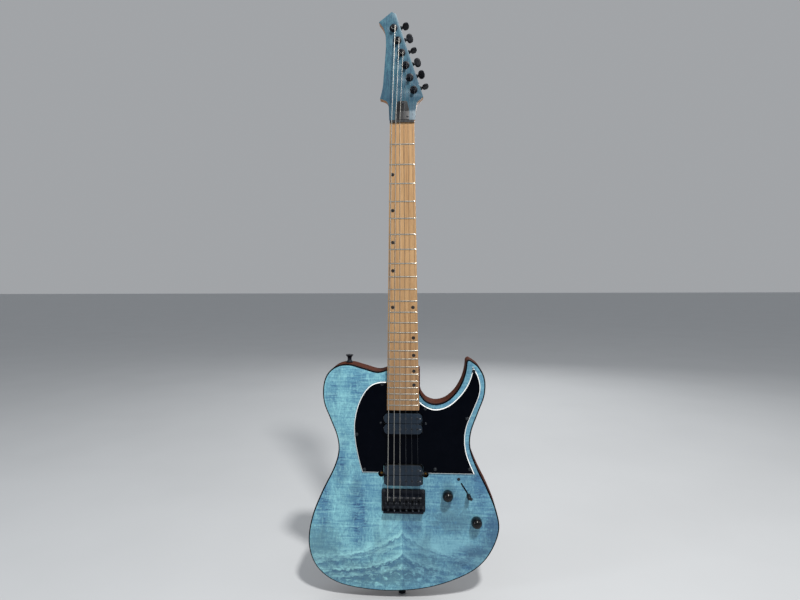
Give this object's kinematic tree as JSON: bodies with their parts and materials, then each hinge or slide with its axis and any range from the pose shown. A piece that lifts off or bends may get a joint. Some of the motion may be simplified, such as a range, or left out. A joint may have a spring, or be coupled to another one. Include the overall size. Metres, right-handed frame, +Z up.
{
  "type": "electric guitar",
  "caption": "Solid-body electric guitar with a single cutaway, a teal figured-maple top, a bolt-on roasted maple neck and black hardware.",
  "frame": {"origin": "on the neck's centreline at the nut's front edge, in the plane of the body's top face; the hanger cradle carries the throat of the head there", "axes": "+Z up along the neck towards the head, -Y out of the front, +X towards the treble side"},
  "size_m": [0.3393, 0.0615, 1.029],
  "materials": {
    "teal_top": "satin teal stain on figured maple",
    "teal_head": "satin teal stain on figured maple",
    "body_wood": "satin red-brown",
    "roasted_maple": "satin oil",
    "board_maple": "satin oil",
    "black_hardware": "black plated, satin",
    "knob_gloss": "polished black",
    "black_plastic": "matt",
    "bobbin": "fine matt",
    "pickguard": "polished, white middle ply",
    "nut": "self-lubricating, matt",
    "steel": "bright",
    "wound_string": "nickel wound",
    "plain_string": "bright"
  },
  "bodies": {
    "root": {"body": "body_wood", "body_top": "teal_top", "neck": "roasted_maple", "fingerboard": "board_maple", "head_veneer": "teal_head", "nut": "nut", "truss_rod_cover": "black_plastic", "pickguard": "pickguard", "bridge_plate": "black_hardware", "volume_pot": "steel", "tone_pot": "steel", "selector_switch": "steel", "jack_plate": "black_hardware", "output_jack": "steel", "strap_button_horn": "black_hardware", "strap_button_tail": "black_hardware", "neck_plate": "black_hardware", "control_cover": "black_plastic", "string_1": "wound_string", "tuner_housing_1": "black_hardware", "tuner_bush_1": "black_hardware", "string_2": "wound_string", "tuner_housing_2": "black_hardware", "tuner_bush_2": "black_hardware", "string_3": "wound_string", "tuner_housing_3": "black_hardware", "tuner_bush_3": "black_hardware", "string_4": "plain_string", "tuner_housing_4": "black_hardware", "tuner_bush_4": "black_hardware", "string_5": "plain_string", "tuner_housing_5": "black_hardware", "tuner_bush_5": "black_hardware", "string_6": "plain_string", "tuner_housing_6": "black_hardware", "tuner_bush_6": "black_hardware"},
    "tuner_key_1": {"tuner_key_1": "black_hardware"},
    "tuner_post_1": {"tuner_post_1": "black_hardware"},
    "tuner_key_2": {"tuner_key_2": "black_hardware"},
    "tuner_post_2": {"tuner_post_2": "black_hardware"},
    "tuner_key_3": {"tuner_key_3": "black_hardware"},
    "tuner_post_3": {"tuner_post_3": "black_hardware"},
    "tuner_key_4": {"tuner_key_4": "black_hardware"},
    "tuner_post_4": {"tuner_post_4": "black_hardware"},
    "tuner_key_5": {"tuner_key_5": "black_hardware"},
    "tuner_post_5": {"tuner_post_5": "black_hardware"},
    "tuner_key_6": {"tuner_key_6": "black_hardware"},
    "tuner_post_6": {"tuner_post_6": "black_hardware"},
    "volume_knob": {"volume_knob": "knob_gloss"},
    "tone_knob": {"tone_knob": "knob_gloss"},
    "selector_lever": {"selector_lever": "black_plastic"},
    "saddle_1": {"saddle_1": "black_hardware"},
    "saddle_2": {"saddle_2": "black_hardware"},
    "saddle_3": {"saddle_3": "black_hardware"},
    "saddle_4": {"saddle_4": "black_hardware"},
    "saddle_5": {"saddle_5": "black_hardware"},
    "saddle_6": {"saddle_6": "black_hardware"},
    "neck_pickup": {"neck_pickup": "bobbin"},
    "bridge_pickup": {"bridge_pickup": "bobbin"},
    "truss_rod": {"truss_rod": "steel"}
  },
  "joints": [
    {"name": "tuner_key_1_turn", "type": "hinge", "parent": "root", "child": "tuner_key_1", "pos_m": [-0.01665, 0.0225, 0.17049], "axis": [0.9511, 0, 0.309], "continuous": true},
    {"name": "tuner_post_1_turn", "type": "hinge", "parent": "root", "child": "tuner_post_1", "pos_m": [-0.0147, 0, 0.1645], "axis": [0, -1, 0], "continuous": true},
    {"name": "tuner_key_2_turn", "type": "hinge", "parent": "root", "child": "tuner_key_2", "pos_m": [-0.00979, 0.0225, 0.14938], "axis": [0.9511, 0, 0.309], "continuous": true},
    {"name": "tuner_post_2_turn", "type": "hinge", "parent": "root", "child": "tuner_post_2", "pos_m": [-0.00784, 0, 0.14339], "axis": [0, -1, 0], "continuous": true},
    {"name": "tuner_key_3_turn", "type": "hinge", "parent": "root", "child": "tuner_key_3", "pos_m": [-0.00293, 0.0225, 0.12826], "axis": [0.9511, 0, 0.309], "continuous": true},
    {"name": "tuner_post_3_turn", "type": "hinge", "parent": "root", "child": "tuner_post_3", "pos_m": [-0.00098, 0, 0.12227], "axis": [0, -1, 0], "continuous": true},
    {"name": "tuner_key_4_turn", "type": "hinge", "parent": "root", "child": "tuner_key_4", "pos_m": [0.00393, 0.0225, 0.10715], "axis": [0.9511, 0, 0.309], "continuous": true},
    {"name": "tuner_post_4_turn", "type": "hinge", "parent": "root", "child": "tuner_post_4", "pos_m": [0.00588, 0, 0.10116], "axis": [0, -1, 0], "continuous": true},
    {"name": "tuner_key_5_turn", "type": "hinge", "parent": "root", "child": "tuner_key_5", "pos_m": [0.01079, 0.0225, 0.08604], "axis": [0.9511, 0, 0.309], "continuous": true},
    {"name": "tuner_post_5_turn", "type": "hinge", "parent": "root", "child": "tuner_post_5", "pos_m": [0.01274, 0, 0.08005], "axis": [0, -1, 0], "continuous": true},
    {"name": "tuner_key_6_turn", "type": "hinge", "parent": "root", "child": "tuner_key_6", "pos_m": [0.01765, 0.0225, 0.06492], "axis": [0.9511, 0, 0.309], "continuous": true},
    {"name": "tuner_post_6_turn", "type": "hinge", "parent": "root", "child": "tuner_post_6", "pos_m": [0.0196, 0, 0.05893], "axis": [0, -1, 0], "continuous": true},
    {"name": "volume_turn", "type": "hinge", "parent": "root", "child": "volume_knob", "pos_m": [0.078, 0, -0.646], "axis": [0, -1, 0], "range_deg": [0, 280]},
    {"name": "tone_turn", "type": "hinge", "parent": "root", "child": "tone_knob", "pos_m": [0.128, 0, -0.692], "axis": [0, -1, 0], "range_deg": [0, 280]},
    {"name": "selector_swing", "type": "hinge", "parent": "root", "child": "selector_lever", "pos_m": [0.108, 0.026, -0.6356], "axis": [0.848, 0, 0.5299], "range_deg": [-40, 0]},
    {"name": "saddle_1_slide", "type": "slide", "parent": "root", "child": "saddle_1", "axis": [0, 0, 1], "range_m": [-0.001, 0.004]},
    {"name": "saddle_2_slide", "type": "slide", "parent": "root", "child": "saddle_2", "axis": [0, 0, 1], "range_m": [-0.001, 0.004]},
    {"name": "saddle_3_slide", "type": "slide", "parent": "root", "child": "saddle_3", "axis": [0, 0, 1], "range_m": [-0.001, 0.004]},
    {"name": "saddle_4_slide", "type": "slide", "parent": "root", "child": "saddle_4", "axis": [0, 0, 1], "range_m": [-0.001, 0.004]},
    {"name": "saddle_5_slide", "type": "slide", "parent": "root", "child": "saddle_5", "axis": [0, 0, 1], "range_m": [-0.001, 0.004]},
    {"name": "saddle_6_slide", "type": "slide", "parent": "root", "child": "saddle_6", "axis": [0, 0, 1], "range_m": [-0.001, 0.004]},
    {"name": "neck_pickup_height", "type": "slide", "parent": "root", "child": "neck_pickup", "axis": [0, -1, 0], "range_m": [-0.004, 0.0015]},
    {"name": "bridge_pickup_height", "type": "slide", "parent": "root", "child": "bridge_pickup", "axis": [0, -1, 0], "range_m": [-0.004, 0.0015]},
    {"name": "truss_rod_turn", "type": "hinge", "parent": "root", "child": "truss_rod", "pos_m": [0, 0.0039, 0.008], "axis": [0, 0, 1], "range_deg": [-180, 180]}
  ],
  "couplings": [
    {"joint": "tuner_post_1_turn", "follows": "tuner_key_1_turn", "ratio": 0.055556},
    {"joint": "tuner_post_2_turn", "follows": "tuner_key_2_turn", "ratio": 0.055556},
    {"joint": "tuner_post_3_turn", "follows": "tuner_key_3_turn", "ratio": 0.055556},
    {"joint": "tuner_post_4_turn", "follows": "tuner_key_4_turn", "ratio": 0.055556},
    {"joint": "tuner_post_5_turn", "follows": "tuner_key_5_turn", "ratio": 0.055556},
    {"joint": "tuner_post_6_turn", "follows": "tuner_key_6_turn", "ratio": 0.055556}
  ]
}
